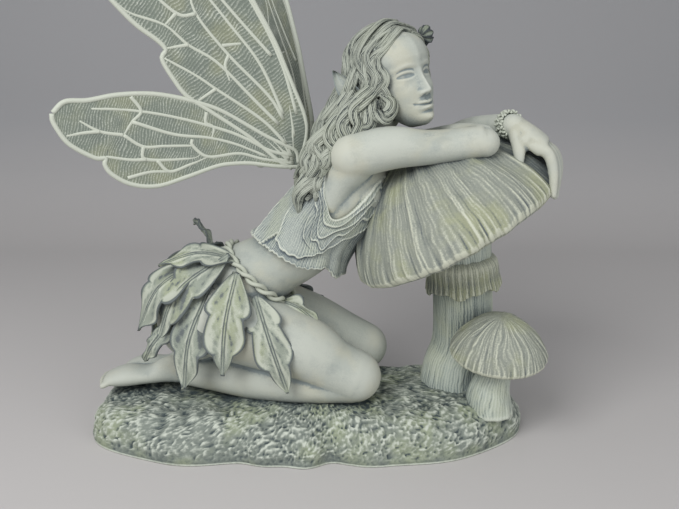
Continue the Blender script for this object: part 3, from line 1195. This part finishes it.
fall_mass = turned_tube([
    (55, -4, 304, 16, 23, -20), (41, -3, 279, 15, 29, -14), (30, -2, 256, 15, 33, -12),
    (23, -2, 236, 14, 34, -12), (15, -3, 218, 11, 31, -12), (8, -6, 206, 6, 20, -12)], 40, 60)
fall_parts = [shut_grid(fall_mass)]
for layer, count in ((0, 16), (1, 13)):
    for k in range(count):
        seed += 1
        angle = math.radians(-128 + 256 * (k + 0.5 * layer) / (count - 1))
        end = 1.0 - 0.18 * layer - 0.12 * abs(math.sin(1.7 * seed))
        line, middle = fall_lock(angle, 0.10 * layer, end, seed)
        size = np.interp(np.linspace(0, 1, 20), [0, 0.2, 0.7, 0.9, 1], [3.6, 5.2, 5.6, 4.4, 1.4])
        size = size * (0.95 + 0.2 * math.sin(3.3 * seed))
        fall_parts.append(shut_grid(*lock(line, size, seed, middle, rows=52, sides=26)))
SHOULDER_LOCKS = [
    # points from beside the jaw down over the shoulder
    ((66, -37, 296), (72, -42, 288), (68, -44, 279), (60, -42, 281), (56, -41, 288)),
    ((58, -36, 300), (50, -42, 292), (44, -43, 282), (48, -44, 272), (43, -45, 262), (33, -44, 254)),
    ((50, -34, 294), (40, -40, 284), (34, -42, 272), (37, -45, 261), (30, -46, 251), (20, -44, 246)),
    ((44, -30, 288), (30, -37, 276), (24, -42, 264), (28, -46, 252), (23, -46, 241), (14, -42, 236)),
    ((36, -26, 284), (20, -32, 268), (13, -38, 256), (16, -42, 244), (10, -42, 233), (1, -37, 224)),
    ((62, -35, 290), (56, -42, 281), (54, -45, 271), (47, -45, 266)),
    ((30, -24, 276), (12, -30, 258), (4, -35, 245), (6, -38, 233), (0, -36, 222), (-6, -30, 214)),
]
for line in SHOULDER_LOCKS:
    seed += 1
    radii = np.interp(np.linspace(0, 1, len(line)), [0, 0.3, 0.75, 1], [5.4, 6.4, 5.2, 2.0])
    fall_parts.append(shut_grid(*lock(line, radii, seed, (32, -4, 268), rows=52, sides=26)))
finish_piece(build("falling_hair", fall_parts), hair_paint, gain=0.9)

# %% [markdown]
# ## Wings
#
# A wing is drawn flat and then stood up. The two long edges of its outline are the
# two sides of a ruled sheet, so a point is a blend between them. The sheet gets a
# thickness and a bead round the rim, and the veins are thin bars that stand proud of
# both faces.

# %% Wings
UPPER_BACK = [(0, 236), (-7, 262), (-6, 278), (3, 301), (10, 318), (17, 335), (27, 354), (42, 380), (52, 392),
              (65, 406), (81, 418), (99, 425), (115, 427), (129, 423), (141, 416), (149, 406)]
UPPER_FRONT = [(5, 236), (16, 242), (40, 262), (70, 282), (88, 294), (98, 307), (106, 322), (103, 329),
               (109, 336),
               (123, 346), (136, 359), (146, 371), (151, 382), (152, 393), (149, 405.5)]
LOWER_BACK = [(0, 240), (2, 250), (13, 256), (27, 263), (39, 270), (58, 281), (72, 287), (95, 293),
              (117, 296),
              (141, 295), (162, 291), (178, 290), (187, 282)]
LOWER_FRONT = [(0, 237), (18, 238), (40, 241), (56, 241), (69, 239), (93, 231), (115, 225), (134, 227),
               (148, 235),
               (153, 243), (152, 248), (159, 248), (172, 255), (180, 262), (187, 275), (187.5, 281.5)]
UPPER_VEINS = [
    [(1, 280), (12, 318), (29, 354), (52, 387), (92, 416)], [(21, 326), (47, 354), (71, 381), (82, 395)],
    [(12, 280), (30, 319), (55, 351), (79, 380), (91, 395)],
    [(12, 276), (24, 295), (55, 326), (79, 356), (86, 381), (100, 398)],
    [(79, 356), (94, 356), (119, 379), (125, 397)], [(94, 356), (103, 347)],
    [(16, 272), (36, 292), (64, 320), (86, 333), (103, 347), (128, 355), (140, 364)], [(60, 333), (45, 335)],
    [(86, 333), (103, 330)], [(55, 326), (58, 318), (55, 306)],
    [(10, 256), (30, 276), (66, 300), (81, 310), (105, 323)],
    [(66, 300), (80, 291)],
]
LOWER_VEINS = [
    [(4, 246), (24, 251), (50, 264), (78, 273), (107, 280), (135, 284), (160, 285)],
    [(131, 294), (124, 283), (131, 275), (138, 265)],
    [(138, 265), (124, 256), (108, 256), (86, 256)],
    [(131, 275), (100, 265), (73, 262), (50, 256), (26, 246)],
    [(74, 282), (75, 274), (69, 270), (71, 261)],
    [(86, 261), (86, 256), (74, 247), (49, 249), (29, 244), (6, 242)],
    [(124, 256), (122, 246), (88, 246), (80, 249)], [(122, 246), (134, 246), (152, 249)],
    [(114, 245), (105, 236), (89, 241), (74, 247)], [(137, 232), (120, 236), (105, 236)],
    [(138, 265), (155, 268), (169, 276)], [(155, 268), (167, 267), (179, 265)],
]
UPPER_FAN = [
    # fine ribs that spread from the root
    [(5, 244), (12, 262), (30, 300)], [(6, 246), (20, 268), (44, 300)], [(7, 244), (26, 264), (52, 288)],
    [(8, 242), (32, 264), (62, 286)], [(4, 250), (6, 280), (16, 312)], [(3, 262), (10, 300), (24, 334)],
]
LOWER_FAN = [
    [(4, 241), (30, 247), (60, 254)], [(4, 243), (28, 254), (56, 269)], [(4, 240), (30, 243), (64, 245)],
    [(4, 245), (20, 255), (40, 264)],
]


def evenly(points, count):
    """A smooth line through the points, read at even steps of its length."""
    fine = curve_through(points, 40 * len(points))
    length = np.concatenate([[0], np.cumsum(np.linalg.norm(np.diff(fine, axis=0), axis=1))])
    even = np.linspace(0, length[-1], count)
    return np.column_stack([np.interp(even, length, fine[:, i]) for i in range(fine.shape[1])])


def stand_wing(flat, turn, root, dish):
    """Flat (along, off, up) to the frame: bent by dish (along / 150) squared and turned at its root."""
    c, s = math.cos(math.radians(turn)), math.sin(math.radians(turn))
    off = flat[..., 1] + dish * np.clip(flat[..., 0] / 150, 0, None) ** 2
    x = root[0] - c * flat[..., 0] + s * off
    y = root[1] - s * flat[..., 0] - c * off
    return np.stack([x, y, flat[..., 2]], -1)


def wing_sheet(back, front, rows=150, samples=42):
    """P(t, v) = (1 - v) back(t) + v front(t), out along one face and back along the other."""
    a, b = evenly(back, rows), evenly(front, rows)
    v = (0.5 + 0.5 * np.sin(np.linspace(-1, 1, samples) * math.pi / 2))[None, :, None]
    sheet = a[:, None] * (1 - v) + b[:, None] * v
    width = np.linalg.norm(a - b, axis=1)[:, None]
    edge = width * np.minimum(v[..., 0], 1 - v[..., 0])
    pillow = 0.22 * lattice_noise(np.stack([sheet[..., 0], sheet[..., 1], 0 * sheet[..., 0]], -1), 9.0, 5)
    wall = (1.15 + pillow) * np.sqrt(np.clip(edge / 1.4, 0.02, 1))
    near = np.stack([sheet[..., 0], wall, sheet[..., 1]], -1)
    far = np.stack([sheet[..., 0], -wall, sheet[..., 1]], -1)
    length = np.linspace(0, 190, rows)[:, None]
    flow = np.stack([length * np.ones_like(edge), width * v[..., 0]], -1)
    return np.concatenate([far, near[:, ::-1]], axis=1), np.concatenate([flow, flow[:, ::-1]], axis=1)


def wing_veins(veins, fan, edges, turn, root, dish):
    """Round bars along the veins and the rim, thick enough to stand proud of both faces."""
    made = []
    bars = [(vein, 1.9, 1.4, 28) for vein in veins]
    bars += [(rib, 1.6, 0.6, 20) for rib in fan]
    bars += [(edge, 1.9, 2.1, 110) for edge in edges]
    for vein, first, last, count in bars:
        line = evenly([(along, 0.0, up) for along, up in vein], count)
        radii = np.linspace(first, last, count)
        made.append(round_tube(stand_wing(line, turn, root, dish), radii, count, 9, up=(0.26, -0.96, 0.02)))
    return made


for name, turn, root, dish in (
    ("right", 15.0, (-3.0, -12.0), 7.0),
    ("left", -60.0, (4.0, 30.0), -7.0),
):
    skins, bars = [], []
    for back, front, veins, fan in (
        (UPPER_BACK, UPPER_FRONT, UPPER_VEINS, UPPER_FAN), (LOWER_BACK, LOWER_FRONT, LOWER_VEINS, LOWER_FAN),
    ):
        sheet, flow = wing_sheet(back, front)
        skins.append(shut_grid(stand_wing(sheet, turn, root, dish), flow))
        bars += [shut_grid(bar) for bar in wing_veins(veins, fan, (back, front), turn, root, dish)]
    finish_piece(build(f"{name}_wing_sheets", skins), wing_paint, f"{name}_wings", gain=1.0)
    finish_piece(build(f"{name}_wing_veins", bars), vein_paint, f"{name}_wings", gain=1.0)

# %% [markdown]
# ## Light and stage
#
# A pale sheet that bends up from floor to wall, one wide soft light from the left in
# front and above, and a weaker one from the right, so that the shadows stay open and
# the paint keeps the colour it was given.

# %% Stage
FLOOR_TONE, WALL_TONE = (0.56, 0.54, 0.53, 1), (0.425, 0.425, 0.435, 1)

floor_mesh = bpy.data.meshes.new("stage_floor")
floor_line = np.array([(-3.0, 0.0), (0.75, 0.0), (0.9, 0.04), (1.0, 0.14), (1.04, 0.3), (1.04, 3.0)])
floor_points = [(x, y, z - 0.0004) for y, z in floor_line for x in (-3.5, 3.5)]
floor_faces = [(2 * i, 2 * i + 1, 2 * i + 3, 2 * i + 2) for i in range(len(floor_line) - 1)]
floor_mesh.from_pydata(floor_points, [], floor_faces)
floor_mesh.shade_smooth()
floor = bpy.data.objects.new("stage_floor", floor_mesh)
bpy.context.scene.collection.objects.link(floor)
pale = bpy.data.materials.new("pale_stage")
pale.use_nodes = True
pale.node_tree.nodes["Principled BSDF"].inputs["Roughness"].default_value = 0.9
stage_place = node(pale.node_tree, "ShaderNodeTexCoord", (-900, 0))
stage_axes = node(pale.node_tree, "ShaderNodeSeparateXYZ", (-700, 0))
stage_share = node(pale.node_tree, "ShaderNodeMapRange", (-500, 0))
stage_share.inputs["From Max"].default_value = 0.25
stage_mix = node(pale.node_tree, "ShaderNodeMix", (-300, 0), data_type="RGBA")
stage_mix.inputs[6].default_value = FLOOR_TONE
stage_mix.inputs[7].default_value = WALL_TONE
pale.node_tree.links.new(stage_place.outputs["Object"], stage_axes.inputs["Vector"])
pale.node_tree.links.new(stage_axes.outputs["Z"], stage_share.inputs["Value"])
pale.node_tree.links.new(stage_share.outputs["Result"], stage_mix.inputs["Factor"])
pale.node_tree.links.new(stage_mix.outputs[2], pale.node_tree.nodes["Principled BSDF"].inputs["Base Color"])
floor_mesh.materials.append(pale)


def soft_light(name, place, target, size, power):
    """A square area light at a place, turned to face a target."""
    data = bpy.data.lights.new(name, "AREA")
    data.size = size
    data.energy = power
    lamp = bpy.data.objects.new(name, data)
    lamp.location = place
    aim = np.asarray(target, float) - place
    lamp.rotation_euler = (
        math.atan2(math.hypot(aim[0], aim[1]), -aim[2]), 0.0, math.atan2(aim[1], aim[0]) - math.pi / 2
    )
    bpy.context.scene.collection.objects.link(lamp)


soft_light("key", (-0.55, -1.0, 0.95), (0, 0, 0.15), 0.7, 13.0)
soft_light("fill", (0.9, -1.0, 0.35), (0, 0, 0.12), 0.9, 4.6)
world = bpy.data.worlds.new("even_sky")
world.use_nodes = True
world.node_tree.nodes["Background"].inputs["Color"].default_value = (0.95, 0.97, 1.0, 1)
world.node_tree.nodes["Background"].inputs["Strength"].default_value = 0.40
bpy.context.scene.world = world
bpy.context.scene.view_settings.view_transform = "Standard"
